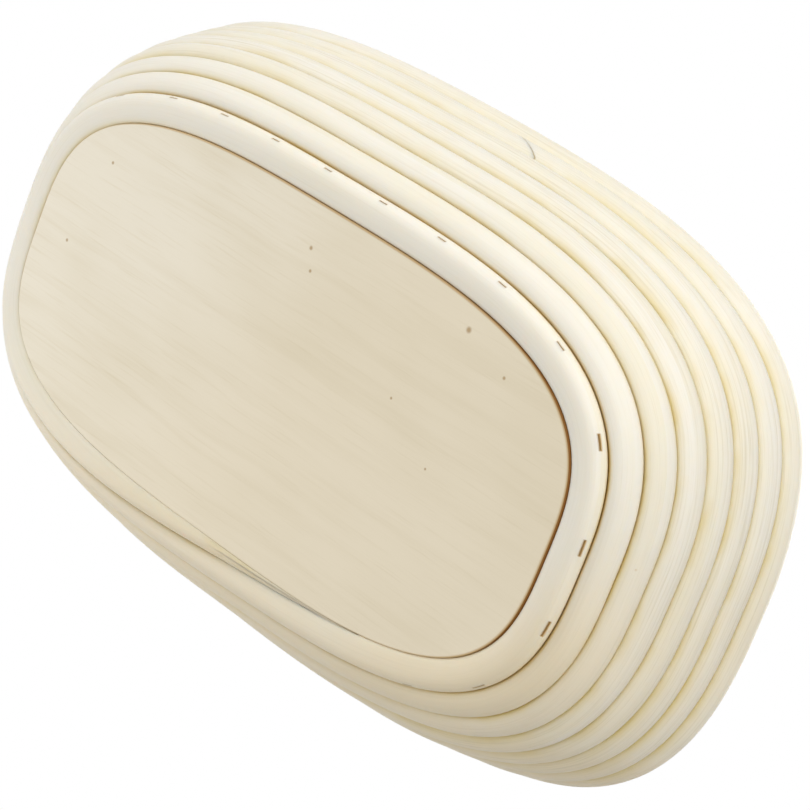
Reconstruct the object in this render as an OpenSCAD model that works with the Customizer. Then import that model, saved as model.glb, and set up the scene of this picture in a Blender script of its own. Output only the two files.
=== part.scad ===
// Oval cane proofing basket: a flat base board ringed by round cane, which is wound in one
// climbing coil, spliced once and stapled turn to turn. Millimetres, opening upwards,
// with the long axis along X and the origin under the middle of the board.

/* [Base board] */
// Length of the board
board_l = 218.8; // [150:0.1:300]
// Width of the board
board_w = 103.5; // [70:0.5:160]
// Thickness of the board
board_t = 4; // [3:0.5:8]
// Height of the board's underside above the surface that the basket stands on
board_lift = 0.5; // [0.2:0.1:1.5]
// Squareness of the oval: 2 is an ellipse, higher values fill the corners
oval_power = 3.2; // [2.2:0.05:4.5]

/* [Cane] */
// Diameter of the cane
cane_d = 8.5; // [6:0.1:12]
// Number of turns in the wall
turns = 8; // [5:1:12]
// Gap between one turn and the next
turn_gap = 0.5; // [0.45:0.05:1]
// Gap between the board's edge and the first turn
board_gap = 0.25; // [0.2:0.05:0.6]
// Depth of the flat on which the first turn stands
foot_flat = 0.85; // [0.5:0.05:1.2]

/* [Wall] */
// Lean of the wall at the first turn, measured from flat
foot_angle = 34.6; // [10:0.2:50]
// Lean of the wall near the rim, measured from flat
rim_angle = 77.8; // [60:0.2:90]
// Turns over which the wall steepens
bend_turns = 6.5; // [3:0.25:10]
// How much steeper the wall stands at the two ends
end_angle = 2.4; // [0:0.2:8]
// How much further the wall leans out at all four corners
flare_angle = 2.7; // [0:0.1:6]
// How much the wall leans out more at one pair of opposite corners and less at the other
skew_angle = 2.2; // [0:0.2:5]

/* [Coil ends and splice] */
// Place of the coil's tip, as a share of the way round from the +X end towards +Y
tip_share = 0.197; // [0:0.001:1]
// Share of a turn before the tip where the returning cane starts to climb
climb_before_share = 0.083; // [0.04:0.001:0.12]
// Share of a turn after the tip where the climb ends
climb_after_share = 0.197; // [0.1:0.001:0.3]
// Share of the cane's thickness that is left at its rim end
rim_end_share = 0.2; // [0.1:0.05:0.5]
// Width across the wall of a tapered end, as a share of the cane's, at no thickness
taper_share = 0.6; // [0.4:0.05:1]
// Turn, counted from the tip, at which the two lengths of cane meet
splice_turns = 6.583; // [3:0.001:7.2]
// Length of the scarf cut along the cane
scarf_l = 16; // [4:1:20]
// Glue gap in the scarf
scarf_gap = 0.15; // [0.05:0.05:0.3]

/* [Staples] */
// Outside width of a staple's crown
crown_w = 5; // [4:0.1:10]
// Length of a staple's legs
leg_l = 14; // [10:0.5:18]
// Width of the staple wire
wire_w = 1.15; // [0.8:0.05:1.6]
// Thickness of the staple wire
wire_t = 0.9; // [0.5:0.05:1.2]
// Depth to which a crown is sunk in the cane
crown_sink = 0.35; // [0:0.05:1]
// Staples in the row that holds the first turn to the board
board_staple_count = 18; // [8:1:30]
// Staples in each row that holds one turn to the next
turn_staple_count = 18; // [8:1:30]
// How far the staples drift from even spacing, as a share of their step
drift_share = 0.3; // [0:0.05:0.4]
// Where the drift begins, as an angle of its wave round the row
drift_angle = 40; // [0:5:360]
// Angle below level at which the board staples' crowns sit on the first turn
drop_angle = 22; // [0:1:40]

/* [Smoothness] */
// Rings of the cane in one turn
turn_ring_count = 48; // [24:2:60]
// Share of the rings that is spread by the bend of the oval, and not by its length
ring_bend_share = 0.5; // [0:0.05:0.8]
// Sides of the cane
side_count = 10; // [6:2:12]

/* [Hidden] */
half_l = board_l / 2;
half_w = board_w / 2;
cane_r = cane_d / 2;
pitch = cane_d + turn_gap;
first_z = cane_r - foot_flat;
first_out = board_gap + cane_r;
climb = climb_before_share + climb_after_share;
// rows of staples keep to the level stretch of each turn
row_from = climb_after_share + 0.02;
row_to = 1 - climb_before_share;
oval_steps = 180;
wall_steps = 8;
rim_end_steps = 400;
board_color = "#d9c3a0";
cane_color = "#e0c188";
staple_color = "#7a6248";

// Outline of the board: a superellipse, with its outward normal

function oval_point(angle) =
    let (c = cos(angle), s = sin(angle),
         reach = pow(pow(abs(c), oval_power) + pow(abs(s), oval_power), -1 / oval_power))
    [half_l * c * reach, half_w * s * reach];

function oval_slope(x, half) = sign(x) * pow(abs(x) / half, oval_power - 1) / half;

function oval_normal(p) =
    let (slope = [oval_slope(p.x, half_l), oval_slope(p.y, half_w)])
    slope / norm(slope);

oval_points = [for (i = [0 : oval_steps]) oval_point(360 * i / oval_steps)];

// way round the outline up to each of its points, against the point's angle
oval_way = [
    for (i = 0, way = 0; i <= oval_steps;
         way = way + norm(oval_points[min(i + 1, oval_steps)] - oval_points[i]), i = i + 1)
    [way, 360 * i / oval_steps]
];
oval_girth = oval_way[oval_steps][0];

// places of the cane's rings round the oval, closer together where it bends
oval_bend = [
    for (i = 0, bend = 0; i <= oval_steps;
         bend = bend + bend_share(min(i, oval_steps - 1)), i = i + 1)
    [bend, oval_way[i][0] / oval_girth]
];
ring_places = [
    for (i = [0 : turn_ring_count - 1]) lookup(i / turn_ring_count * oval_bend[oval_steps][0], oval_bend)
];

function bend_share(i) =
    let (a = oval_normal(oval_points[i]), b = oval_normal(oval_points[i + 1]))
    ring_bend_share * acos(min(a * b, 1)) / 360
    + (1 - ring_bend_share) * norm(oval_points[i + 1] - oval_points[i]) / oval_girth;

function angle_at(place) = lookup((place - floor(place)) * oval_girth, oval_way);

// Section of the wall: where the cane's centre lies after v turns, out from the first and up from it

function wall_lean(v) =
    v < 0 ? foot_angle * (1 + 2 * v)
          : rim_angle - (rim_angle - foot_angle) * pow(1 - min(v / bend_turns, 1), 2);

wall_from = -wall_steps / 2;
wall_to = (turns + 1) * wall_steps;
wall_way = [
    for (i = wall_from, at = [0, 0]; i <= wall_to;
         at = at + wall_step((i + 0.5) / wall_steps), i = i + 1)
    at
];
wall_foot = wall_way[-wall_from];
wall_out = [for (i = [wall_from : wall_to]) [i / wall_steps, wall_way[i - wall_from].x - wall_foot.x]];
wall_up = [for (i = [wall_from : wall_to]) [i / wall_steps, wall_way[i - wall_from].y - wall_foot.y]];

function wall_step(v) = pitch / wall_steps * [cos(wall_lean(v)), sin(wall_lean(v))];

// Coil: u counts turns from the tip, and every turn climbs onto the one before it near the tip

function smooth(x) = let (k = min(max(x, 0), 1)) k * k * (3 - 2 * k);

// level of the cane's lower side, in turns above the board's edge
function coil_level(u) =
    let (whole = floor(u + climb_before_share))
    whole - 1 + smooth((u + climb_before_share - whole) / climb);

function coil_low(u) = max(0, coil_level(u));
function coil_high(u) = min(turns, coil_level(u) + 1);
// thickness of the cane along the wall, as a share of its diameter
function coil_thickness(u) = (pitch * (coil_high(u) - coil_low(u)) - turn_gap) / cane_d;
function coil_normal(u) = oval_normal(oval_point(angle_at(tip_share + u)));

// change of the wall's lean with the way that it faces: ends steeper, corners flared
function wall_tilt(n) =
    let (corner = 2 * n.x * n.y)
    end_angle * n.x * n.x - flare_angle * corner * corner - skew_angle * corner;

function coil_lean(u) =
    wall_lean((coil_low(u) + coil_high(u) - 1) / 2) + wall_tilt(coil_normal(u));

function coil_centre(u) =
    let (v = (coil_low(u) + coil_high(u) - 1) / 2,
         p = oval_point(angle_at(tip_share + u)),
         n = oval_normal(p),
         tilt = wall_tilt(n),
         out = lookup(v, wall_out),
         up = lookup(v, wall_up),
         flat = p + n * (first_out + out * cos(tilt) - up * sin(tilt)))
    [flat.x, flat.y, first_z + out * sin(tilt) + up * cos(tilt)];

// turn at which the rim end is thinned to its last thickness
rim_end = [
    for (i = [0 : rim_end_steps])
        let (u = turns + climb_after_share * i / rim_end_steps)
        if (coil_thickness(u) < rim_end_share) u
][0];

// One ring of the cane, in the upright plane across it, thinned along the wall where the cane tapers.
// scarf slants the ring along the cane: its lower side is moved on by half of scarf.
function cane_ring(u, scarf = 0) =
    let (centre = coil_centre(u),
         n = coil_normal(u),
         out = [n.x, n.y, 0],
         along = [-n.y, n.x, 0],
         thin = coil_thickness(u),
         r = cane_r * (taper_share + (1 - taper_share) * thin),
         wall = cos(coil_lean(u)) * out + [0, 0, sin(coil_lean(u))])
    [for (k = [0 : side_count - 1])
        let (a = -90 + 360 * k / side_count,
             full = r * (cos(a) * out + [0, 0, sin(a)]),
             rise = full * wall,
             p = centre + full - (1 - thin * cane_r / r) * rise * wall - scarf / 2 * rise / cane_r * along)
        [p.x, p.y, max(p.z, 0)]];

// turns at which a length of cane from one turn to another has its rings
function cane_stations(from, to) =
    let (room = 0.7 / turn_ring_count)
    concat([from],
           [for (i = [0 : (turns + 2) * turn_ring_count])
               let (u = floor(i / turn_ring_count) + ring_places[i % turn_ring_count] - tip_share)
               if (u > from + room && u < to - room) u],
           [to]);

function cane_rings(from, to, scarf_from, scarf_to) =
    let (at = cane_stations(from, to), last = len(at) - 1)
    [for (i = [0 : last]) cane_ring(at[i], i == 0 ? scarf_from : i == last ? scarf_to : 0)];

function side_faces(ring_count) = [
    for (i = [0 : ring_count - 2], k = [0 : side_count - 1], half = [0, 1])
        let (a = i * side_count + k,
             b = i * side_count + (k + 1) % side_count)
        half == 0 ? [a, b, a + side_count] : [b, b + side_count, a + side_count]
];

function end_faces(ring_count) = [
    for (k = [1 : side_count - 2], last = [0, 1])
        let (first = last * (ring_count - 1) * side_count)
        last == 0 ? [first, first + k + 1, first + k] : [first, first + k, first + k + 1]
];

module cane(from, to, scarf_from = 0, scarf_to = 0) {
    rings = cane_rings(from, to, scarf_from, scarf_to);
    polyhedron(
        points = [for (ring = rings) each ring],
        faces = concat(side_faces(len(rings)), end_faces(len(rings))),
        convexity = 2 * turns
    );
}

// Least gap between each turn and the next, measured on the rings' centres and half thicknesses
function gap_above(u, w) =
    norm(coil_centre(w) - coil_centre(u)) - (coil_thickness(u) + coil_thickness(w)) * cane_r;

turn_gaps = [
    for (i = [0 : floor((rim_end - 1) * turn_ring_count)], near = [-1, 0, 1])
        let (u = i / turn_ring_count, w = u + 1 + near / turn_ring_count)
        if (w <= rim_end) gap_above(u, w)
];
echo(least_gap_between_turns = min(turn_gaps));

// Staples

// one staple: its crown along X with its back at Y = 0, its legs along -Y
module staple() {
    linear_extrude(wire_w, center = true)
        difference() {
            translate([-crown_w / 2, -leg_l]) square([crown_w, leg_l]);
            translate([wire_t - crown_w / 2, -leg_l]) square([crown_w - 2 * wire_t, leg_l - wire_t]);
        }
}

function row_place(i, count, shift) =
    let (drift = drift_share * cos(360 * i / count + drift_angle))
    row_from + (row_to - row_from) * (i + 0.5 + shift + drift) / count;

// a staple whose crown is near the cane at turn u, driven level or down the wall
module driven_staple(u, lean, drop, depth) {
    n = coil_normal(u);
    centre = coil_centre(u);
    reach = cane_r - depth;
    translate(centre + reach * (cos(drop) * [n.x, n.y, 0] + [0, 0, sin(drop)]))
        rotate([0, 0, atan2(n.y, n.x) - 90])
            rotate([lean, 0, 0])
                staple();
}

module turn_staples(turn) {
    color(staple_color)
        for (i = [0 : turn_staple_count - 1]) {
            u = turn - 1 + row_place(i, turn_staple_count, (turn % 2) / 2 - 0.25);
            step = coil_centre(u) - coil_centre(u - 1);
            n = coil_normal(u);
            lean = atan2(step.z, step.x * n.x + step.y * n.y);
            driven_staple(u, lean, lean, crown_sink);
        }
}

// Pieces

module base_board() {
    color(board_color)
        translate([0, 0, board_lift])
            linear_extrude(board_t)
                polygon([for (i = [0 : oval_steps - 1]) oval_points[i]]);
}

module lower_cane() {
    color(cane_color)
        cane(0, splice_turns, scarf_to = scarf_l);
}

module upper_cane() {
    color(cane_color)
        cane(splice_turns + scarf_gap / oval_girth, rim_end, scarf_from = scarf_l);
}

module board_staples() {
    color(staple_color)
        for (i = [0 : board_staple_count - 1])
            driven_staple(row_place(i, board_staple_count, 0), 0, -drop_angle, crown_sink);
}

base_board();
lower_cane();
upper_cane();
board_staples();
turn_staples(2);  // turn_2_staples
turn_staples(3);  // turn_3_staples
turn_staples(4);  // turn_4_staples
turn_staples(5);  // turn_5_staples
turn_staples(6);  // turn_6_staples
turn_staples(7);  // turn_7_staples
turn_staples(8);  // turn_8_staples
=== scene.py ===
"""Oval cane proofing basket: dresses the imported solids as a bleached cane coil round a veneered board."""

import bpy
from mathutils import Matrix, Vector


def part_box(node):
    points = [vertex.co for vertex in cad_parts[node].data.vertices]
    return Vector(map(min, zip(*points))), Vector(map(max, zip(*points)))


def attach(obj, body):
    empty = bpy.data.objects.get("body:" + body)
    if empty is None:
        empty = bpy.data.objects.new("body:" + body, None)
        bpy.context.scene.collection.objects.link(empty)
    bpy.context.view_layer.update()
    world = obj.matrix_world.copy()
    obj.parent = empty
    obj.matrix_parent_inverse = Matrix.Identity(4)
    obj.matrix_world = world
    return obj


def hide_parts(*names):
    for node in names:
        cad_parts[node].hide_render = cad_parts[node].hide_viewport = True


bl_info = {
    "name": "Oval Proofing Basket",
    "version": (1, 0, 0),
    "blender": (4, 5, 0),
    "location": "3D View > Sidebar > Basket",
    "description": "Boards, winds, staples and stages an oval cane proofing basket on its packed frame",
    "category": "Object",
}

import math
from types import SimpleNamespace

import bpy
import numpy as np
from bpy.props import FloatProperty, FloatVectorProperty, IntProperty, PointerProperty
from mathutils import Matrix, Vector

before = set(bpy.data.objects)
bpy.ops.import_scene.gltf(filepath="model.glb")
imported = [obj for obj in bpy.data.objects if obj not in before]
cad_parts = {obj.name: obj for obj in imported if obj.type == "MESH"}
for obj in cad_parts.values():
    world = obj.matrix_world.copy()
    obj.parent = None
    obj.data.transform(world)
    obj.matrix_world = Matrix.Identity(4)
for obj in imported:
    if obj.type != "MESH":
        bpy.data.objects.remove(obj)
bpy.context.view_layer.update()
BOARD_LOW, BOARD_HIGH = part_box("base_board")
MM = 0.001
STAPLE_ROWS = ["board_staples"] + [f"turn_{turn}_staples" for turn in range(2, 9)]


# Sizes and colours


def length(name, description, default):
    """A length in metres."""
    looks = {"precision": 5, "unit": "LENGTH", "subtype": "DISTANCE"}
    return FloatProperty(name=name, description=description, default=default, **looks)


def angle(name, description, degrees):
    """An angle, given in degrees and held in radians."""
    looks = {"unit": "ROTATION", "subtype": "ANGLE"}
    return FloatProperty(name=name, description=description, default=math.radians(degrees), **looks)


def share(name, description, default):
    """A plain number."""
    return FloatProperty(name=name, description=description, default=default, precision=4)


def colour(name, description, default):
    """A linear colour."""
    looks = {"size": 3, "min": 0, "max": 1, "subtype": "COLOR"}
    return FloatVectorProperty(name=name, description=description, default=default, **looks)


class BasketSizes(bpy.types.PropertyGroup):
    """Sizes of the board, the cane, its coil and the staples' slots."""

    board_length: length("Board length", "Length of the base board", BOARD_HIGH.x - BOARD_LOW.x)
    board_width: length("Board width", "Width of the base board", BOARD_HIGH.y - BOARD_LOW.y)
    board_edge: length("Board edge", "Radius of the board's softened edge", 0.45 * MM)
    oval_power: share("Oval power", "Squareness of the oval, where 2 is an ellipse", 3.2)
    cane_diameter: length("Cane diameter", "Diameter of the cane", 8.5 * MM)
    turn_count: IntProperty(name="Turns", description="Number of turns in the wall", default=8)
    turn_gap: length(
        "Turn gap", "Spare room for each turn in the solids, which the cane here fills", 0.5 * MM
    )
    board_gap: length("Board gap", "Gap between the board's edge and the first turn", 0.25 * MM)
    foot_flat: length(
        "Foot flat", "Depth to which the first turn's underside is pressed flat", 0.85 * MM
    )
    foot_press: length(
        "Foot press", "Height up to which the first turn's underside is pressed", 1.8 * MM
    )
    foot_lean: angle("Foot lean", "Lean of the wall at the first turn, from flat", 34.6)
    rim_lean: angle("Rim lean", "Lean of the wall near the rim, from flat", 77.8)
    bend_turns: share("Bend turns", "Turns over which the wall steepens", 6.5)
    end_lean: angle("End lean", "How much steeper the wall stands at the two ends", 2.4)
    corner_flare: angle("Corner flare", "How much further the wall leans out at the corners", 2.7)
    corner_skew: angle(
        "Corner skew", "How much one pair of opposite corners leans out more than the other", 2.2
    )
    tip_share: share("Tip share", "Place of the coil's tip as a share of the way round", 0.197)
    tip_start: share("Tip start", "Turns from the tip to the thin end of its sliver", -0.06)
    climb_before_share: share(
        "Climb before", "Share of a turn before the tip where the climb starts", 0.083
    )
    climb_after_share: share(
        "Climb after", "Share of a turn after the tip where the climb ends", 0.197
    )
    rim_end_share: share(
        "Rim end", "Share of the cane's thickness that is left at its rim end", 0.2
    )
    taper_share: share(
        "Taper", "Width of a tapered end across the wall, as a share, at no thickness", 0.6
    )
    splice_turns: share("Splice", "Turns from the tip to the splice", 6.583)
    scarf_length: length("Scarf length", "Length of the scarf cut along the cane", 16 * MM)
    scarf_gap: length("Scarf gap", "Gap in the scarf", 0.02 * MM)
    scarf_step: length(
        "Scarf step", "How far the upper length stands proud at the scarf", 0.05 * MM
    )
    scarf_blunt: share(
        "Scarf blunt", "Share of the scarf's slant that is left on the lower length's blunted point", 0.92
    )
    press_share: share(
        "Press", "How far a turn would reach past its neighbour if it weren't pressed flat there", 0.10
    )
    wander: length("Wander", "How far the hand-wound cane strays in and out of the wall", 0.18 * MM)
    crown_width: length("Crown width", "Width of a staple's crown", 5.0 * MM)
    slot_width: length("Slot width", "Width of the slot that a staple's crown sits in", 0.52 * MM)
    crown_drop: angle("Crown drop", "Angle below level of the board staples' slots", 22.0)
    slot_depth: length("Slot depth", "Depth of the slot that a staple's crown sits in", 0.8 * MM)
    staple_count: IntProperty(name="Staples", description="Staples in each row", default=18)
    staple_drift: share(
        "Staple drift", "How far staples drift from even spacing, as a share of their step", 0.3
    )
    drift_phase: angle("Drift phase", "Where the drift begins in its wave round the row", 40)
    station_step: length("Station step", "Spacing of the cane's rings", 2.5 * MM)
    column_count: IntProperty(name="Columns", description="Sides of the cane", default=40)


class BasketColours(bpy.types.PropertyGroup):
    """Colours of the basket's finishes and of the stage."""

    board: colour("Board", "Sanded veneer", (0.885, 0.805, 0.645))
    board_grain: colour("Board grain", "Darker bands of the veneer", (0.760, 0.675, 0.495))
    board_pale: colour("Pale board", "Paler end of the veneer", (0.935, 0.885, 0.765))
    # Painted shade beside the board's edge at the joint, partly a stain
    board_shade_and_stain: colour("Board stain", "Stain beside the board's edge", (0.520, 0.330, 0.100))
    # Painted shade of the gap, on the board's cut edge
    board_edge: colour("Board edge", "Cut edge of the board, in the gap", (0.230, 0.095, 0.014))
    speck: colour("Speck", "Pin knots in the veneer", (0.400, 0.240, 0.080))
    cane: colour("Cane", "Bleached cane", (0.884, 0.854, 0.778))
    cane_warm: colour("Warm cane", "Warmer stretches of the cane", (0.866, 0.824, 0.700))
    # Painted warm shade on one corner and the long side beside it
    cane_shade_tint: colour("Aged cane", "Cane yellowed at one corner and along a side", (0.850, 0.755, 0.570))
    fibre: colour("Fibre", "Dark lengthwise fibres", (0.650, 0.590, 0.440))
    # Painted warm shade and bounced light in the grooves, partly a golden stain
    groove: colour("Groove", "Golden stain in the grooves between the turns", (0.750, 0.630, 0.310))
    # Brown of painted shade in the cores of the lowest grooves, the board joint and the scarf; the cane's
    # dark specks use it too
    soil: colour("Soil", "Brown core of the lowest grooves", (0.560, 0.350, 0.080))
    slot: colour("Slot", "Bruised cane in a staple's slot", (0.480, 0.300, 0.085))
    staple: colour("Staple", "Browned steel wire", (0.580, 0.380, 0.130))
    floor: colour("Floor", "Plain pale floor", (0.860, 0.860, 0.860))
    ambient: colour("Ambient", "Tint of the even light from all round", (1.000, 0.940, 0.820))


class BasketStage(bpy.types.PropertyGroup):
    """Light levels and the lens."""

    ambient: share("Ambient", "Even light from all round", 0.31)
    key_power: share("Key power", "Power of the soft key lamp at the long side, in watts", 4.4)
    front_power: share("Front power", "Power of the soft lamp near the camera, in watts", 3.1)
    fill_power: share("Fill power", "Power of the soft lamp below the long side, in watts", 2.6)
    left_power: share("Left power", "Power of the soft lamp at the far end of the long side, in watts", 4.1)
    right_power: share("Right power", "Power of the soft lamp at the near end, in watts", 2.5)
    back_power: share("Back power", "Power of the soft lamp close to the shaded far corner, in watts", 1.6)
    over_power: share("Overhead power", "Power of the soft lamp above the open top, in watts", 9.0)
    lens: FloatProperty(
        name="Lens", description="Focal length of the camera, in millimetres", default=131.02
    )


# Coil


def smooth(x):
    """Smooth step: 3 k squared less 2 k cubed, with k held between 0 and 1."""
    k = np.clip(x, 0, 1)
    return k * k * (3 - 2 * k)


def bell(distance, reach):
    """Bell curve: e to the minus square of a distance over its reach."""
    return np.exp(-((distance / reach) ** 2))


def waves(u, parts):
    """Sum of sines along the coil, where each part is a height, waves to a turn and a phase."""
    return sum(height * np.sin(2 * np.pi * (count * u + phase)) for height, count, phase in parts)


def signed_power(x, power):
    """A power of a number's size, with its sign kept."""
    return np.sign(x) * np.abs(x) ** power


def wrapped(angles):
    """Angles brought to within half a turn of nought."""
    return np.mod(angles + np.pi, 2 * np.pi) - np.pi


class Coil:
    """Path of the cane round the board, as whole arrays over u, the turns from the coil's tip.

    The outline is a superellipse, walked by the share of its girth. The level, in turns above the
    board's edge, holds for most of a turn and climbs one turn near the tip. The section of the wall
    is the running sum of short steps whose lean steepens by a square law, tilted about the first
    turn by an angle that depends on the way that the wall faces.
    """

    outline_steps = 1440
    wall_steps = 64
    rim_steps = 2000
    rim_blend = 0.03
    row_margin = 0.02
    press_by_groove = (0, 1.4, 2.0, 2.0)

    def __init__(self, sizes):
        self.sizes = sizes
        self.cane_r = sizes.cane_diameter / 2
        self.pitch = sizes.cane_diameter + sizes.turn_gap
        self.half = np.array([sizes.board_length, sizes.board_width]) / 2
        self.angles = np.linspace(0, 2 * np.pi, self.outline_steps + 1)
        steps = np.diff(self.oval(self.angles), axis=0)
        self.way = np.r_[0, np.cumsum(np.hypot(steps[:, 0], steps[:, 1]))]
        self.girth = self.way[-1]
        self.wall_v = np.arange(-0.5, sizes.turn_count + 1, 1 / self.wall_steps)
        middle = self.wall_lean((self.wall_v[1:] + self.wall_v[:-1]) / 2)
        step = self.pitch / self.wall_steps
        self.wall_out = self.from_foot(np.r_[0, np.cumsum(np.cos(middle))] * step)
        self.wall_up = self.from_foot(np.r_[0, np.cumsum(np.sin(middle))] * step)
        u = np.linspace(sizes.turn_count, sizes.turn_count + sizes.climb_after_share, self.rim_steps)
        self.rim_end = u[np.argmax(self.thickness(u) < sizes.rim_end_share)]

    def from_foot(self, run):
        """A running sum along the wall, counted from the first turn."""
        return run - np.interp(0, self.wall_v, run)

    def oval(self, angles):
        """Superellipse: the half axes times (cos, sin), over the power mean of their sizes."""
        way = np.stack([np.cos(angles), np.sin(angles)], axis=-1)
        power = self.sizes.oval_power
        reach = (np.abs(way) ** power).sum(axis=-1) ** (-1 / power)
        return self.half * way * reach[..., None]

    def oval_normal(self, points):
        """Unit gradient of the superellipse."""
        part = np.abs(points) / self.half
        slope = np.sign(points) * part ** (self.sizes.oval_power - 1) / self.half
        return slope / np.linalg.norm(slope, axis=-1, keepdims=True)

    def wall_lean(self, v):
        """Lean after v turns: a line from flat up to the first turn, then a square law up to the rim's."""
        s = self.sizes
        bend = (1 - np.minimum(np.maximum(v, 0) / s.bend_turns, 1)) ** 2
        above = s.rim_lean - (s.rim_lean - s.foot_lean) * bend
        return np.where(v < 0, s.foot_lean * (1 + 2 * v), above)

    def level(self, u):
        """Whole turns so far, less one, plus a smooth step over the climbing stretch."""
        s = self.sizes
        whole = np.floor(u + s.climb_before_share)
        climb = s.climb_before_share + s.climb_after_share
        return whole - 1 + smooth((u + s.climb_before_share - whole) / climb)

    def low(self, u):
        """Lower side of the cane, in turns up the wall: its level, which starts at the board."""
        return np.maximum(0, self.level(u))

    def high(self, u):
        """Upper side of the cane, in turns up the wall: one above its level, which ends at the rim."""
        return np.minimum(self.sizes.turn_count, self.level(u) + 1)

    def thickness(self, u):
        """Thickness of the solid cane along the wall: its room less the gap, as a share of its diameter."""
        room = self.pitch * (self.high(u) - self.low(u))
        return (room - self.sizes.turn_gap) / self.sizes.cane_diameter

    def tilt(self, normal):
        """Tilt of the wall: steeper at the ends by the square of the normal's X.

        The corners are flared by the square of twice its X times its Y, and skewed by that product.
        """
        s = self.sizes
        corner = 2 * normal[:, 0] * normal[:, 1]
        return s.end_lean * normal[:, 0] ** 2 - s.corner_flare * corner**2 - s.corner_skew * corner

    def at(self, u):
        """Centre of the cane, its directions out, along and square to the wall, and the wall's lean.

        Away is the level distance from the board's edge to the centre.
        """
        s = self.sizes
        way = np.mod(s.tip_share + u, 1.0) * self.girth
        foot = self.oval(np.interp(way, self.way, self.angles))
        normal = self.oval_normal(foot)
        v = (self.low(u) + self.high(u) - 1) / 2
        tilt = self.tilt(normal)
        lean = self.wall_lean(v) + tilt
        out, up = (np.interp(v, self.wall_v, run) for run in (self.wall_out, self.wall_up))
        away = s.board_gap + self.cane_r + out * np.cos(tilt) - up * np.sin(tilt)
        flat = foot + normal * away[:, None]
        height = self.cane_r - s.foot_flat + out * np.sin(tilt) + up * np.cos(tilt)
        outwards = np.c_[normal, np.zeros(len(u))]
        upwards = np.array([0.0, 0.0, 1.0])
        return SimpleNamespace(
            centre=np.c_[flat, height],
            out=outwards,
            along=np.c_[-normal[:, 1], normal[:, 0], np.zeros(len(u))],
            square=-np.sin(lean)[:, None] * outwards + np.cos(lean)[:, None] * upwards,
            lean=lean,
            away=away,
        )

    def rim_share(self, u):
        """How far a turn's upper side is free of a next turn: a smooth step where the last turn begins."""
        return smooth((u - self.rim_end + 1) / self.rim_blend)

    def press(self, groove):
        """Press of two turns on each other: none beside the board, and full from the second groove up."""
        return self.sizes.press_share * np.interp(groove, range(4), self.press_by_groove)

    def row(self, turn, shift):
        """Turns at which a row's staples stand: even steps over the level stretch, drifting in one wave."""
        s = self.sizes
        i = np.arange(s.staple_count)
        drift = s.staple_drift * np.cos(2 * np.pi * i / s.staple_count + s.drift_phase)
        first, last = s.climb_after_share + self.row_margin, 1 - s.climb_before_share
        return turn - 1 + first + (last - first) * (i + 0.5 + shift + drift) / s.staple_count


# Meshes


SHARP_ANGLE = math.radians(55)


def flat_floats(values):
    """An array as one run of single floats, as a mesh layer takes it."""
    return np.ascontiguousarray(values, dtype=np.float32).ravel()


def add_piece(name, points, faces, loop_uv, attributes, material, slot, *nodes):
    """A mesh object at the origin that rides on the one body and stands for CAD nodes."""
    mesh = bpy.data.meshes.new(name)
    mesh.from_pydata(points.tolist(), [], faces)
    mesh.uv_layers.new(name="UVMap").data.foreach_set("uv", flat_floats(loop_uv))
    for label, values in attributes.items():
        layer = mesh.attributes.new(label, "FLOAT", "POINT")
        layer.data.foreach_set("value", flat_floats(values))
    mesh.polygons.foreach_set("use_smooth", np.array([len(face) == 4 for face in faces]))
    mesh.materials.append(material)
    mesh.validate()
    mesh.update()
    mesh.set_sharp_from_angle(angle=SHARP_ANGLE)
    piece = bpy.data.objects.new(name, mesh)
    bpy.context.scene.collection.objects.link(piece)
    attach(piece, "root")
    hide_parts(*nodes)


def tube_faces(rings, columns, uv_along, uv_round):
    """Quads of a closed tube of rings, a cap on each end, and the UVs of their corners.

    Corner (i, k) is point i times columns plus k. The last column wraps to the first, where the UV
    goes on to the full way round.
    """
    grid = np.meshgrid(np.arange(rings - 1), np.arange(columns), indexing="ij")
    i, k = (index.ravel() for index in grid)
    ring = np.stack([i, i + 1, i + 1, i], axis=1)
    column = np.stack([k, k, k + 1, k + 1], axis=1)
    quads = ring * columns + column % columns
    loop_uv = np.stack([uv_along[ring], uv_round[column]], axis=-1).reshape(-1, 2)
    first = np.arange(columns)
    last = first[::-1] + (rings - 1) * columns
    first_uv = np.stack([np.full(columns, uv_along[0]), uv_round[:-1]], axis=1)
    last_uv = np.stack([np.full(columns, uv_along[-1]), uv_round[:-1][::-1]], axis=1)
    faces = quads.tolist() + [first.tolist(), last.tolist()]
    return faces, np.concatenate([loop_uv, first_uv, last_uv])


# Columns at the edges of a full and of a half slot, in half widths of the slot, and the room they take
SLOT_COLUMNS = np.array([-1.08, -0.92, -0.56, -0.44, 0, 0.44, 0.56, 0.92, 1.08])
SLOT_CLEAR = 1.3
# Rings at the ends of a slot, and the share of a step that even rings keep from them
SLOT_RINGS = np.array([-0.05, 0.05, 0.3]) * MM
SLOT_MARGIN = 0.05 * MM
RING_CLEAR = 0.15
# Length of an end, its close rings as shares of that, and the least share of a rounded end's section
END_LENGTH = 2.0 * MM
END_RINGS = np.array([0, 0.08, 0.25, 0.55])
END_SHARE = 0.2
# Steps in which the length along the cane is measured
PATH_STEPS = 8000
# How far touching turns overlap, and how far the first turn reaches past the board's edge
TURN_TOUCH = 0.02 * MM
BOARD_TOUCH = 0.08 * MM
# Power that the section gains where the cane thins away, and how its tip is hollowed
THIN_POWER = 1.6
HOLLOW_RATE, HOLLOW_MOST = 1.3, 0.8
# Fill of the first turn towards the board, and the side where the board fits closest
FILL_POWER, FILL_ROUND = 6, 1.25
CLOSE_SIDE = np.array([-0.5, 0.866, 0])
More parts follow.
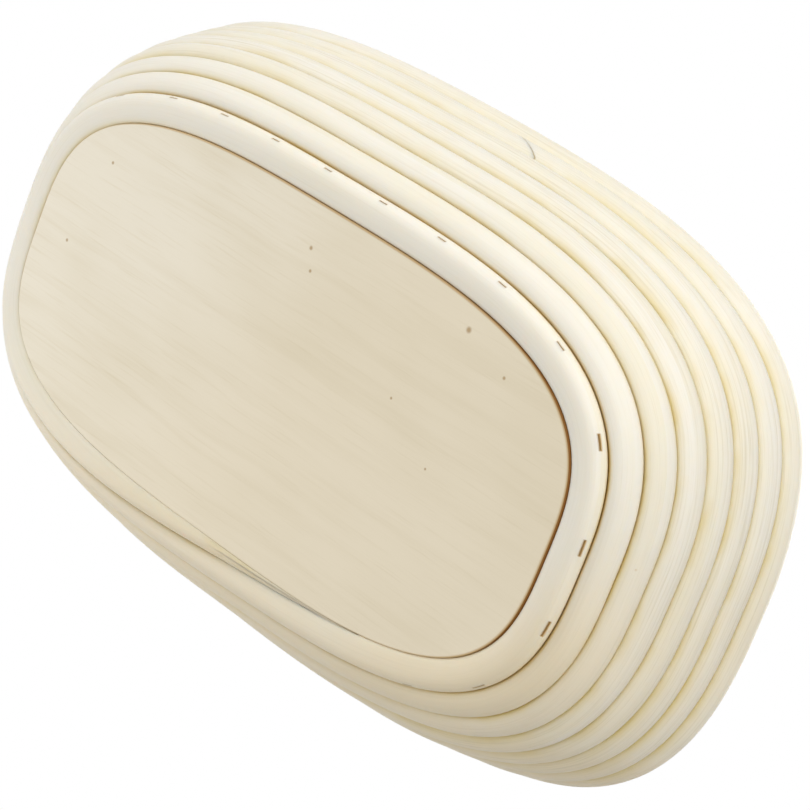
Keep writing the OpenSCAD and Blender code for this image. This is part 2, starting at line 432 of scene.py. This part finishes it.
# Swell and stray of the cane: heights, waves to a turn and phases
KNOT_WAVES = ((0.016, 2.3, 0.2), (0.010, 8.9, 0.7))
STRAY_WAVES = ((1.0, 3.13, 0.15), (0.6, 7.71, 0.6))
# Runs over which the scarf's slant and its proud step fade, in lengths of the scarf
SLANT_RUN, STEP_RUN = 1.6, 2.5
# Share of a slot's length past which it is bared to its full width, and the width of the others
BARED_FULL, BARED_WIDTH = 0.7, 0.5


def section_angles(count, slot_angle, slot_half):
    """Even angles round the cane, with close pairs on a slot's edges and one on its middle.

    There are columns for a full and for a half slot, and the even angles among them are left out.
    """
    close = slot_half * SLOT_COLUMNS + slot_angle
    even = np.linspace(-np.pi, np.pi, count, endpoint=False) + slot_angle + np.pi
    even = even[np.abs(wrapped(even - slot_angle)) > slot_half * SLOT_CLEAR]
    return np.sort(np.mod(np.r_[even, close] - slot_angle, 2 * np.pi)) + slot_angle


def cane_stations(run, slots, slot_half, step):
    """Distances along the cane of its rings: even steps, and close rings at its ends and the slots'."""
    close = slot_half[:, None] + SLOT_RINGS
    marks = (slots[:, None] + np.concatenate([-close, close], axis=1)).ravel()
    ends = END_LENGTH * END_RINGS
    even = np.linspace(0, run, int(run / step) + 1)[2:-2]
    even = even[np.abs(even[:, None] - marks).min(axis=1) > RING_CLEAR * step]
    return np.unique(np.r_[ends, even, marks, run - ends])


def cane_section(coil, u, phi, ring):
    """Offsets of a ring's points, out from the cane's centre and up from it, and along the wall.

    A superellipse whose power grows from 2 as the cane thins. Along the wall its half axis reaches
    past half way to the neighbouring turn by the press and is cut flat there, and square to the
    wall it is the cane's radius, narrowed where the cane tapers. The tapered start is hollowed in
    proportion to its rise. The first turn's inner lower side is filled out towards the board by a
    high power of its drop, higher on the side where the board fits closest.
    """
    s = coil.sizes
    lean = ring.lean[:, None]
    level, thin, rim = (values[:, None] for values in (coil.level(u), coil.thickness(u), coil.rim_share(u)))
    upper = np.cos(phi) > 0
    room = coil.pitch * (coil.high(u) - coil.low(u))[:, None] / 2
    limit = room - upper * rim * s.turn_gap / 2 + TURN_TOUCH
    press = np.where(upper, (1 - rim) * coil.press(level + 1), coil.press(level))
    power = 2 / (2 + THIN_POWER * (1 - np.clip(thin, 0, 1)))
    rise = np.clip(signed_power(np.cos(phi), power) * limit * (1 + press), -limit, limit)
    knots = 1 + waves(u, KNOT_WAVES)[:, None]
    across = coil.cane_r * (s.taper_share + (1 - s.taper_share) * thin) * knots
    side = signed_power(np.sin(phi), power) * across
    hollow = np.clip(HOLLOW_RATE * (1 - thin), 0, HOLLOW_MOST) * np.clip(1 - level, 0, 1)
    side = np.where(side < 0, side * (1 - hollow * (rise / limit + 1) / 2), side)
    out = rise * np.cos(lean) - side * np.sin(lean)
    up = rise * np.sin(lean) + side * np.cos(lean)

    snug = smooth(1 - 2 * np.clip(level, 0, 1))
    drop = np.clip(up / up.min(axis=1, keepdims=True), 0, 1)
    close = np.clip(1.8 * ring.out @ CLOSE_SIDE - 0.8, 0, 1)[:, None]
    bulge = (1 - drop ** (FILL_POWER * (1 + close))) ** FILL_ROUND
    filled = (-BOARD_TOUCH - ring.away)[:, None] * bulge
    inner = (out < 0) & (up < 0)
    return out + inner * snug * (np.minimum(filled, out) - out), up, rise


def wind_length(coil, start, end, leaning, slot_turns, slot_open, slot_angle, cut_start, cut_end, step_out):
    """Surface of one length of cane, with its UVs and attributes.

    The section is carried along the coil in upright planes. An end is rounded by a quarter circle,
    or cut by a scarf that slants the rings along the cane in proportion to their height up the
    wall. The cane strays square to the wall in a sum of sines, slots are pressed in towards its
    centre, and the underside is pressed towards the surface that it stands on by a square law.
    """
    s = coil.sizes
    fine = np.linspace(start, end, PATH_STEPS)
    steps = np.diff(coil.at(fine).centre, axis=0)
    run = np.r_[0, np.cumsum(np.linalg.norm(steps, axis=1))]
    slots = np.interp(slot_turns, fine, run)
    slot_half = slot_open * s.crown_width / 2 + SLOT_MARGIN
    slot_reach = s.slot_width / 2 / coil.cane_r
    way = cane_stations(run[-1], slots, slot_half, s.station_step)
    u = np.interp(way, run, fine)
    ring = coil.at(u)
    columns = section_angles(s.column_count, slot_angle, slot_reach)
    lean = ring.lean[:, None]
    phi = columns[None, :] + (0 if leaning else -lean)
    out, up, rise = cane_section(coil, u, phi, ring)
    spoke = out[..., None] * ring.out[:, None] + up[..., None] * np.array([0.0, 0.0, 1.0])

    from_start, from_end = way, run[-1] - way
    for cut, distance in ((cut_start, from_start), (cut_end, from_end)):
        if cut:
            fade = np.clip(1 - distance / (SLANT_RUN * s.scarf_length), 0, 1)[:, None]
            slant = fade * s.scarf_length / 2
            shift = np.minimum(-slant * rise / coil.cane_r, s.scarf_blunt * slant)
            spoke = spoke + shift[..., None] * ring.along[:, None]
        else:
            short = 1 - np.minimum(distance / END_LENGTH, 1)
            spoke = spoke * np.sqrt(np.clip(1 - short**2, END_SHARE**2, 1))[:, None, None]

    stray = s.wander * np.clip(coil.level(u), 0, 1) * waves(u, STRAY_WAVES)
    stray = stray - step_out * smooth(1 - from_start / (STEP_RUN * s.scarf_length))
    centre = ring.centre + stray[:, None] * ring.square
    points = centre[:, None] + spoke

    to_slots = np.abs(way[:, None] - slots) - slot_half
    to_slot = to_slots.min(axis=1)
    bared = np.where(slot_open > BARED_FULL, 1, BARED_WIDTH)[to_slots.argmin(axis=1)][:, None]
    off_slot = np.abs(wrapped(columns - slot_angle)) - slot_reach * bared
    inside = (to_slot < 0)[:, None] & (off_slot < 0)
    outwards = spoke / np.maximum(np.linalg.norm(spoke, axis=-1, keepdims=True), 1e-9)
    points = points - s.slot_depth * inside[..., None] * outwards

    press = s.foot_press
    lowest = min(points[..., 2].min(), -1e-6)
    depth = np.clip((press - points[..., 2]) / (press - lowest), 0, 1)
    points[..., 2] += -lowest * depth**2

    edge = np.hypot(np.maximum(to_slot, 0)[:, None], np.maximum(off_slot, 0) * coil.cane_r)
    cut_way = np.minimum(from_start if cut_start else run[-1], from_end if cut_end else run[-1])
    attributes = groove_shade_and_stain(coil, u, phi, lean)
    add_joint_shade(attributes, coil, ring, out, rise, cut_way)
    attributes["slot"] = bell(edge, SLOT_STAIN) * (0.5 + 0.5 * bared)
    attributes["turn"] = np.repeat(u[:, None], len(columns), axis=1)
    uv_round = np.r_[columns - columns[0], 2 * np.pi] * coil.cane_r
    faces, loop_uv = tube_faces(len(way), len(columns), way, uv_round)
    return points.reshape(-1, 3), faces, loop_uv, attributes


# Reaches of the painted shade at the joint with the board, along its far end and at the scarf, and of the
# stain round a slot
JOINT_SHADE, FRINGE_SHADE, SCARF_SHADE, SLOT_STAIN = 0.45 * MM, 1.1 * MM, 0.35 * MM, 0.15 * MM
# Painted brown shade by groove, from the board up, the angle of its core, and how much wider the painted
# gold is at the climb
SHADE_BY_GROOVE = (0, 0.75, 0.35, 0.1)
SHADE_ANGLE, CLIMB_ANGLE = 3.5, 8


def groove_shade_and_stain(coil, u, phi, lean):
    """Nearness of each point to the grooves above and below it: bell curves of its angle past the flat.

    Gold, painted warm shade and bounced light that is partly a golden stain, spreads widest on the lower
    side of the upper turns, and the brown of painted shade keeps to the core of the lowest grooves, more on
    the side where the board's joint stands open. Both are stronger, as painted shade, where the first turn
    climbs and where an end thins.
    """
    level = coil.level(u)[:, None]
    free = 1 - coil.rim_share(u)[:, None]
    foot = np.clip(level, 0, 1)
    climbing = 4 * foot * (1 - foot)
    gape = np.maximum(0.4 + 0.6 * joint_width(coil.at(u).out)[:, None], climbing)
    # Angle from the groove, its number from the board, its weight, and the painted gold's spread in degrees
    sides = (
        (phi, level + 1, free, 8, 4),
        (phi - np.pi + lean * (1 - foot), level, 1, 9, 15),
    )
    golden, core_shade = 0, 0
    for angles, groove, weight, spread, more in sides:
        flat = np.arccos(1 / (1 + coil.press(groove)))
        past = np.maximum(np.abs(wrapped(angles)) - flat, 0)
        wide = spread + more * smooth((groove - 1.5) / 1.5) + CLIMB_ANGLE * climbing
        golden = np.maximum(golden, weight * bell(past, np.radians(wide)))
        # Brown of painted shade in the groove's core
        core = bell(past, np.radians(SHADE_ANGLE)) * np.interp(groove, range(4), SHADE_BY_GROOVE)
        core_shade = np.maximum(core_shade, weight * gape * core)
    # Painted shade on the thin tapered ends, as gold and brown
    thin_end_shade = np.clip(1 - coil.thickness(u), 0, 1)[:, None]
    return {"groove": np.maximum(golden, 0.8 * thin_end_shade), "soil": np.maximum(core_shade, 0.35 * thin_end_shade)}


def add_joint_shade(attributes, coil, ring, out, rise, cut_way):
    """Adds painted shade at the board and at the scarf: bell curves of the way from the one and the other.

    Painted brown shade lies in the joint with the board, more where it stands open, and in the lower part
    of the scarf's line. Painted golden shade fringes the board's far end and the whole of that line.
    """
    off_board = ring.away[:, None] + out
    # Painted brown shade in the joint with the board
    joint = np.clip(1.6 * joint_width(ring.out) - 0.2, 0.3, 1)[:, None] * bell(off_board, JOINT_SHADE)
    far = np.maximum(far_share(ring.out), np.clip(-ring.out[:, 0], 0, 1))[:, None]
    # Painted golden shade along the board's far end
    fringe = 0.8 * far * bell(off_board, FRINGE_SHADE)
    # Painted gold along the scarf's line, and painted brown shade in its lower part
    scarf = bell(cut_way, SCARF_SHADE)[:, None]
    attributes["groove"] = np.maximum(attributes["groove"], np.maximum(fringe, scarf))
    scarf = scarf * np.clip(0.2 - 0.9 * rise / coil.cane_r, 0.25, 0.9)
    attributes["soil"] = np.maximum(attributes["soil"], np.maximum(joint, scarf))


# Ways to the far end of the board, and to the side where its joint stands open
FAR_WAY = np.array([-1.0, -0.5])
OPEN_WAY = np.array([0.9, -0.35])


def far_share(normal):
    """Nearness to the far end of the board: a line of the normal, held between 0 and 1."""
    return np.clip(normal[:, :2] @ FAR_WAY, 0, 1)


def joint_width(normal):
    """How far the joint round the board stands open: a line of the normal, held between two limits.

    It is widest at the near end and one side, and closest at one corner of the far end. It stays a
    little open along the rest of that end.
    """
    return np.clip(0.5 + 0.6 * normal[:, :2] @ OPEN_WAY, 0.1 + 0.25 * far_share(normal), 1)


# Columns of the board, its rings as shares of the flat and as ways in from the edge, and the reach of the
# painted shade, partly a stain, at its joint
BOARD_COLUMNS, EDGE_RINGS = 480, 5
FLAT_RINGS = np.array([0.25, 0.6, 0.9])
MARGIN_RINGS = np.array([2.0, 1.4, 1.0, 0.7, 0.5]) * MM
BOARD_SHADE_AND_STAIN = 0.8 * MM


def board_surface(coil, low, high):
    """Surface of the board: rings of the outline, scaled on the flats and stepped in at the edges.

    The edges are quarter circles, rounder where the joint stands open. The rim mask, for painted
    shade at the joint that is partly a stain, is a bell curve of the way in from the edge, wider and
    stronger there too.
    """
    angles = np.linspace(0, 2 * np.pi, BOARD_COLUMNS, endpoint=False)
    outline = coil.oval(angles)
    normal = coil.oval_normal(outline)
    open_share = joint_width(normal)
    edge = coil.sizes.board_edge * (0.3 + 0.7 * open_share)
    bow = np.linspace(0, np.pi / 2, EDGE_RINGS)[:, None]
    margin = MARGIN_RINGS[:, None] * np.ones_like(edge)
    inset = np.concatenate([margin, edge * (1 - np.sin(bow))])
    rise = np.concatenate([np.zeros_like(margin), edge * (1 - np.cos(bow))])
    half = outline - inset[..., None] * normal
    half = np.concatenate([FLAT_RINGS[:, None, None] * half[:1], half])
    flat = len(FLAT_RINGS)
    rise = np.concatenate([np.zeros_like(rise[:flat]), rise])[..., None]
    inset = np.concatenate([np.full_like(inset[:flat], 1.0), inset])
    upper = np.concatenate([half, high - rise], axis=-1)
    lower = np.concatenate([half, low + rise], axis=-1)[::-1]
    points = np.concatenate([upper, lower])
    uv_along = np.linspace(0, 1, len(points))
    uv_round = np.linspace(0, coil.girth, BOARD_COLUMNS + 1)
    faces, loop_uv = tube_faces(len(points), BOARD_COLUMNS, uv_along, uv_round)
    # Mask of the painted shade at the joint, partly a stain, stronger where the joint stands open
    rim = bell(inset, BOARD_SHADE_AND_STAIN * open_share) * open_share
    return points.reshape(-1, 3), faces, loop_uv, {"rim": np.concatenate([rim, rim[::-1]])}


# Finishes


class Value:
    """A socket that carries a number, so that Python's operators add Math nodes to its finish."""

    def __init__(self, finish, socket):
        self.finish, self.socket = finish, socket

    def __add__(self, other):
        return self.finish.math("ADD", self, other)

    def __sub__(self, other):
        return self.finish.math("SUBTRACT", self, other)

    def __rsub__(self, other):
        return self.finish.math("SUBTRACT", other, self)

    def __mul__(self, other):
        return self.finish.math("MULTIPLY", self, other)

    def __pow__(self, other):
        return self.finish.math("POWER", self, other)

    __radd__, __rmul__ = __add__, __mul__


class Finish:
    """A procedural material: one Principled shader and the nodes that feed its colour and relief."""

    def __init__(self, name, roughness, specular, metallic=0.0):
        self.material = bpy.data.materials.new(name)
        self.material.use_nodes = True
        self.tree = self.material.node_tree
        self.shader = self.tree.nodes["Principled BSDF"]
        self.set("Roughness", roughness)
        self.set("Specular IOR Level", specular)
        self.set("Metallic", metallic)

    def put(self, socket, value):
        """A link from a Value, or a plain value."""
        if isinstance(value, Value):
            self.tree.links.new(value.socket, socket)
        elif socket.type == "RGBA" and len(value) == 3:
            socket.default_value = (*value, 1)
        else:
            socket.default_value = value

    def set(self, name, value):
        """A value or link for one of the shader's own sockets."""
        self.put(self.shader.inputs[name], value)

    def node(self, kind, settings, inputs, output=0):
        """Any node by its type, its settings and the values or links of its sockets; gives one output."""
        made = self.tree.nodes.new(kind)
        for name, value in settings.items():
            setattr(made, name, value)
        for key, value in inputs.items():
            self.put(made.inputs[key], value)
        return Value(self, made.outputs[output])

    def math(self, operation, *values):
        """A Math node on values and numbers."""
        return self.node("ShaderNodeMath", {"operation": operation}, dict(enumerate(values)))

    def step(self, value, start, end):
        """Smooth step of a value between two others, which may fall."""
        inputs = {"Value": value, "From Min": start, "From Max": end}
        return self.node("ShaderNodeMapRange", {"interpolation_type": "SMOOTHSTEP"}, inputs)

    def mix(self, factor, first, second):
        """One colour laid over another."""
        return self.node("ShaderNodeMix", {"data_type": "RGBA"}, {0: factor, 6: first, 7: second}, 2)

    def split(self, vector):
        """The three parts of a vector."""
        return [self.node("ShaderNodeSeparateXYZ", {}, {0: vector}, axis) for axis in range(3)]

    def join(self, x, y, z):
        """A vector of three parts."""
        return self.node("ShaderNodeCombineXYZ", {}, {0: x, 1: y, 2: z})

    def noise(self, vector, scale=1.0, detail=3.0, roughness=0.55):
        """Fractal noise at a place, about one half in the mean."""
        inputs = {"Vector": vector, "Scale": scale, "Detail": detail, "Roughness": roughness}
        return self.node("ShaderNodeTexNoise", {}, inputs)

    def attribute(self, name):
        """One of the mesh's own attributes."""
        return self.node("ShaderNodeAttribute", {"attribute_name": name}, {}, "Fac")

    def place(self):
        """Object coordinates, in metres."""
        return self.node("ShaderNodeTexCoord", {}, {}, "Object")

    def bump(self, height, strength, distance):
        """Relief of a height between 0 and 1, as deep as the distance."""
        inputs = {"Height": height, "Strength": strength, "Distance": distance}
        self.set("Normal", self.node("ShaderNodeBump", {}, inputs))


def cane_finish(colours):
    """Bleached cane: long fibres, warmer stretches, golden grooves, brown slots and dark specks.

    Painted warm shade yellows one corner and the long side beside it. The grooves' gold is painted warm
    shade and bounced light, partly a stain, and is fainter on the other, lit long side. The brown in the
    groove cores, the board joint and the scarf is painted shade.
    """
    f = Finish("bleached_cane", 0.55, 0.3)
    along, around, _ = f.split(f.node("ShaderNodeUVMap", {"uv_map": "UVMap"}, {}))
    turn, groove, soil, slot = (f.attribute(name) for name in ("turn", "groove", "soil", "slot"))
    stretch = f.noise(f.join(along * 7, around * 60, turn * 2.3), detail=2)
    streak = f.noise(f.join(along * 18, around * 1900, turn * 3.7), detail=4, roughness=0.65)
    fine = f.noise(f.join(along * 60, around * 3600, turn * 5.1), detail=3, roughness=0.6)
    weathered = f.step(turn, 2.0, 4.5) * 0.7 + 0.3
    pale = f.mix(f.step(stretch, 0.38, 0.72), colours.cane, colours.cane_warm)
    x, y, _ = f.split(f.place())
    # Painted warm shade: one corner, most on the lower turns, and the long side beside it
    corner = f.step(x + y * 1.6, 0.09, 0.17) * (f.step(turn, 4.0, 2.0) * 0.6 + 0.3)
    shaded = f.step(y, 0.040, 0.062) * 0.8
    pale = f.mix(f.math("MAXIMUM", corner, shaded), pale, colours.cane_shade_tint)
    fibres = (f.step(streak, 0.48, 0.72) * 0.38 + f.step(fine, 0.50, 0.74) * 0.34) * weathered
    base = f.mix(fibres, pale, colours.fibre)
    patch = f.noise(f.join(along * 38, around * 90, turn), detail=3)
    # Gold: painted warm shade and bounced light in the grooves, partly a stain, fainter on the lit long
    # side
    gold = groove * (f.step(patch, 0.42, 0.66) * 0.54 + 0.24) + groove**10 * 0.28
    gold = gold * (f.step(y, -0.095, -0.035) * 0.45 + 0.55)
    base = f.mix(gold, base, colours.groove)
    # Brown of painted shade in the groove cores, the board joint and the scarf
    core = soil**1.5 * (f.step(patch, 0.2, 0.6) * 0.3 + 0.65)
    base = f.mix(core, base, colours.soil)
    spread = {"Vector": f.join(along * 150, around * 150, turn), "Scale": 1.0}
    cells = f.node("ShaderNodeTexVoronoi", {}, spread, "Distance")
    # Real dark specks in the cane, in the same brown
    pick = f.noise(f.join(along * 40, around * 55, turn * 1.7), detail=1)
    specks = f.step(cells, 0.07, 0.03) * f.step(pick, 0.66, 0.72)
    base = f.mix(specks * 0.7, base, colours.soil)
    base = f.mix(slot * 0.85, base, colours.slot)
    f.set("Base Color", base)
    f.set("Roughness", 0.46 + streak * 0.22)
    f.set("Subsurface Weight", 0.8)
    f.set("Subsurface Radius", (1.0, 0.90, 0.75))
    f.set("Subsurface Scale", 2.0 * MM)
    f.bump(streak * 0.65 + fine * 0.35, 0.28, 0.12 * MM)
    return f.material


# Pin knots on the board's underside: place along and across, and radius, in millimetres
BOARD_SPECKS = (
    (-87.9, -29.0, 0.75), (-95.2, -0.4, 0.75), (-3.5, -38.9, 0.9), (-0.8, -33.0, 0.75),
    (58.7, -42.6, 1.3), (75.5, -36.3, 0.75), (42.6, -14.3, 0.6), (62.4, -2.5, 0.55),
)


def board_finish(colours):
    """Sanded veneer: faint bands and fine pores along the board, a few pin knots, and painted shade at the
    joint, partly a stain, darkest on the cut edge in the gap.
    """
    f = Finish("sanded_veneer", 0.6, 0.3)
    x, y, z = f.split(f.place())
    warp = f.noise(f.join(x * 9, y * 14, z * 20), detail=2)
    bands = f.noise(f.join(x * 6, y * 130 + warp * 1.6, z * 30), detail=4, roughness=0.7)
    pores = f.noise(f.join(x * 40, y * 1100, z * 60), detail=3)
    cloud = f.noise(f.join(x * 14, y * 20, z * 10), detail=2)
    grain = f.step(bands, 0.42, 0.70) * 0.26 + f.step(pores, 0.52, 0.78) * 0.30
    grain = grain + f.step(cloud, 0.38, 0.72) * 0.26
    pale = f.mix(f.step(x + y * 0.6, 0.030, -0.090) * 0.9, colours.board, colours.board_pale)
    base = f.mix(grain, pale, colours.board_grain)
    underside = f.step(z, 2.5 * MM, 1.5 * MM)
    spots = 0.0
    for px, py, radius in BOARD_SPECKS:
        ends = {0: f.join(x, y, 0.0), 1: (px * MM, py * MM, 0)}
        away = f.node("ShaderNodeVectorMath", {"operation": "DISTANCE"}, ends, "Value")
        spots = f.step(away, radius * MM, 0.25 * radius * MM) + spots
    base = f.mix(spots * underside * 0.75, base, colours.speck)
    rim = f.attribute("rim")
    # Painted shade at the joint, partly a stain: a golden-brown band in from the edge, and the dark cut
    # edge in the gap
    base = f.mix(f.step(rim, 0.0, 0.6) * 0.75, base, colours.board_shade_and_stain)
    base = f.mix(f.step(rim, 0.55, 0.9), base, colours.board_edge)
    f.set("Base Color", base)
    f.set("Roughness", 0.52 + bands * 0.18)
    f.bump(bands * 0.4 + pores * 0.6, 0.25, 0.08 * MM)
    return f.material


def staple_finish(colours):
    """Steel wire dulled and browned by damp."""
    f = Finish("browned_wire", 0.5, 0.4, metallic=0.25)
    rust = f.noise(f.place(), scale=900, detail=4)
    rusted = tuple(0.6 * c for c in colours.staple)
    f.set("Base Color", f.mix(f.step(rust, 0.35, 0.7), colours.staple, rusted))
    f.set("Roughness", 0.42 + rust * 0.3)
    f.bump(rust, 0.3, 0.05 * MM)
    return f.material


# Operators


class BASKET_OT_make_board(bpy.types.Operator):
    """Makes the veneered base board with softened edges in place of its solid"""

    bl_idname = "basket.make_board"
    bl_label = "Make Board"

    def execute(self, context):
        coil = Coil(context.scene.basket_sizes)
        surface = board_surface(coil, BOARD_LOW.z, BOARD_HIGH.z)
        add_piece("board", *surface, board_finish(context.scene.basket_colours), "board", "base_board")
        return {"FINISHED"}


class BASKET_OT_wind_cane(bpy.types.Operator):
    """Winds the lower and the upper length of cane, spliced by a scarf, in place of their solids"""

    bl_idname = "basket.wind_cane"
    bl_label = "Wind Cane"

    def execute(self, context):
        sizes = context.scene.basket_sizes
        coil = Coil(sizes)
        finish = cane_finish(context.scene.basket_colours)
        splice = sizes.splice_turns
        # The board staples' slots are bared furthest at the near end
        board_row = coil.row(1, 0)
        bared = 0.55 + 0.3 * np.clip(coil.at(board_row).out[:, 0], 0, 1) ** 2
        slots = (board_row, bared, -sizes.crown_drop)
        lower = wind_length(coil, sizes.tip_start, splice, False, *slots, False, True, 0)
        add_piece("cane_lower", *lower, finish, "cane", "lower_cane")
        # Rows of odd and even turns are shifted by half a step against each other
        start = splice + sizes.scarf_gap / coil.girth
        rim_row = coil.row(sizes.turn_count, sizes.turn_count % 2 / 2 - 0.25)
        slots = (rim_row, np.ones(sizes.staple_count), 0)
        upper = wind_length(coil, start, coil.rim_end, True, *slots, True, False, sizes.scarf_step)
        add_piece("cane_upper", *upper, finish, "cane", "upper_cane")
        return {"FINISHED"}


class BASKET_OT_finish_staples(bpy.types.Operator):
    """Gives every row of staples its browned wire finish"""

    bl_idname = "basket.finish_staples"
    bl_label = "Finish Staples"

    def execute(self, context):
        finish = staple_finish(context.scene.basket_colours)
        for row in STAPLE_ROWS:
            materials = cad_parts[row].data.materials
            materials.clear()
            materials.append(finish)
        return {"FINISHED"}


CAMERA_EYE = (0.52032, -0.22625, -0.61870)
CAMERA_TARGET = (0.02924, -0.00646, 0.02501)
CAMERA_UP = (-0.44029, -0.89737, -0.02949)
SENSOR_WIDTH = 36
LAMP_UP = (0.3, 0.2, 1)
MIDDLE, FAR_CORNER = (0, 0, 0.03), (-0.08, 0.03, 0.02)
# Lamps: name, width of the disk, place, and what it is aimed at
LAMPS = (
    ("key", 0.8, (0.35, -1.15, -0.30), MIDDLE),
    ("front", 0.8, (1.00, -0.55, -0.60), MIDDLE),
    ("fill", 0.8, (0.50, -0.70, -0.85), MIDDLE),
    ("left", 0.8, (-0.60, -1.00, -0.30), MIDDLE),
    ("right", 0.8, (1.15, 0.20, -0.20), MIDDLE),
    ("back", 0.35, (-0.45, 0.35, -0.25), FAR_CORNER),
    ("over", 1.0, (0.05, -0.05, 1.15), MIDDLE),
)


def aim(location, target, up):
    """Placement that looks from a location at a target."""
    back = (Vector(location) - Vector(target)).normalized()
    right = Vector(up).cross(back).normalized()
    turn = Matrix((right, back.cross(right), back)).transposed()
    return Matrix.Translation(location) @ turn.to_4x4()


def add_lamp(name, power, size, location, target):
    """A soft disk lamp aimed at a target."""
    lamp = bpy.data.lights.new(name, "AREA")
    lamp.energy, lamp.shape, lamp.size = power, "DISK", size
    holder = bpy.data.objects.new(name, lamp)
    holder.matrix_world = aim(location, target, LAMP_UP)
    bpy.context.scene.collection.objects.link(holder)


class BASKET_OT_set_stage(bpy.types.Operator):
    """Sets the floor, the soft lamps, the white surround and the camera"""

    bl_idname = "basket.set_stage"
    bl_label = "Set Stage"

    def execute(self, context):
        scene, stage = context.scene, context.scene.basket_stage
        self.floor(scene.basket_colours.floor)
        for name, size, location, target in LAMPS:
            add_lamp(f"{name}_lamp", getattr(stage, f"{name}_power"), size, location, target)
        self.surround(scene, scene.basket_colours.ambient, stage.ambient)
        camera = bpy.data.cameras.new("camera")
        camera.lens, camera.sensor_width = stage.lens, SENSOR_WIDTH
        camera.clip_start, camera.clip_end = 0.01, 50
        holder = bpy.data.objects.new("camera", camera)
        holder.matrix_world = aim(CAMERA_EYE, CAMERA_TARGET, CAMERA_UP)
        scene.collection.objects.link(holder)
        scene.camera = holder
        scene.view_settings.view_transform = "Standard"
        return {"FINISHED"}

    def floor(self, tint):
        """A wide plain floor, seen from above and clear from below, where the main view comes from."""
        half, drop = 3.0, 0.2 * MM
        corners = np.array([[-1, -1], [1, -1], [1, 1], [-1, 1]]) * half
        mesh = bpy.data.meshes.new("floor")
        mesh.from_pydata(np.c_[corners, np.full(4, -drop)].tolist(), [], [[0, 1, 2, 3]])
        f = Finish("plain_floor", 0.9, 0.1)
        mottle = f.noise(f.place(), scale=3, detail=2)
        f.set("Base Color", f.mix(mottle * 0.1, tint, tuple(0.97 * c for c in tint)))
        below = f.node("ShaderNodeNewGeometry", {}, {}, "Backfacing")
        clear = f.node("ShaderNodeBsdfTransparent", {}, {})
        solid = Value(f, f.shader.outputs[0])
        sheet = f.node("ShaderNodeMixShader", {}, {0: below, 1: solid, 2: clear})
        f.tree.links.new(sheet.socket, f.tree.nodes["Material Output"].inputs["Surface"])
        mesh.materials.append(f.material)
        floor = bpy.data.objects.new("floor", mesh)
        floor.visible_shadow = floor.visible_diffuse = floor.visible_glossy = False
        bpy.context.scene.collection.objects.link(floor)

    def surround(self, scene, tint, strength):
        """A world that lights evenly and shows white to the camera and in reflections."""
        world = bpy.data.worlds.new("surround")
        world.use_nodes = True
        scene.world = world
        nodes, links = world.node_tree.nodes, world.node_tree.links
        rays = nodes.new("ShaderNodeLightPath")
        seen = rays.outputs["Is Camera Ray"]
        for name in ("Is Glossy Ray", "Is Transmission Ray"):
            both = nodes.new("ShaderNodeMath")
            both.operation = "MAXIMUM"
            links.new(seen, both.inputs[0])
            links.new(rays.outputs[name], both.inputs[1])
            seen = both.outputs[0]
        either = nodes.new("ShaderNodeMixShader")
        links.new(seen, either.inputs[0])
        for slot, shade, level in ((1, tint, strength), (2, (1, 1, 1), 1.0)):
            light = nodes.new("ShaderNodeBackground")
            light.inputs["Color"].default_value = (*shade, 1)
            light.inputs["Strength"].default_value = level
            links.new(light.outputs[0], either.inputs[slot])
        links.new(either.outputs[0], nodes["World Output"].inputs["Surface"])


class BASKET_PT_panel(bpy.types.Panel):
    """Lists the basket's operators, sizes and colours"""

    bl_idname = "BASKET_PT_panel"
    bl_label = "Proofing Basket"
    bl_space_type = "VIEW_3D"
    bl_region_type = "UI"
    bl_category = "Basket"

    def draw(self, context):
        for operator in OPERATORS:
            self.layout.operator(operator.bl_idname)
        scene = context.scene
        for group in (scene.basket_sizes, scene.basket_colours, scene.basket_stage):
            column = self.layout.column()
            for name in group.__annotations__:
                column.prop(group, name)


OPERATORS = (BASKET_OT_make_board, BASKET_OT_wind_cane, BASKET_OT_finish_staples, BASKET_OT_set_stage)
CLASSES = (BasketSizes, BasketColours, BasketStage, *OPERATORS, BASKET_PT_panel)


def register():
    """Adds the classes and the scene's groups of properties."""
    for cls in CLASSES:
        bpy.utils.register_class(cls)
    bpy.types.Scene.basket_sizes = PointerProperty(type=BasketSizes)
    bpy.types.Scene.basket_colours = PointerProperty(type=BasketColours)
    bpy.types.Scene.basket_stage = PointerProperty(type=BasketStage)


def unregister():
    """Takes away the groups and the classes."""
    for group in ("basket_stage", "basket_colours", "basket_sizes"):
        delattr(bpy.types.Scene, group)
    for cls in reversed(CLASSES):
        bpy.utils.unregister_class(cls)


def main():
    """Registers the classes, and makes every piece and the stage."""
    register()
    bpy.ops.basket.make_board()
    bpy.ops.basket.wind_cane()
    bpy.ops.basket.finish_staples()
    bpy.ops.basket.set_stage()


if __name__ == "__main__":
    main()
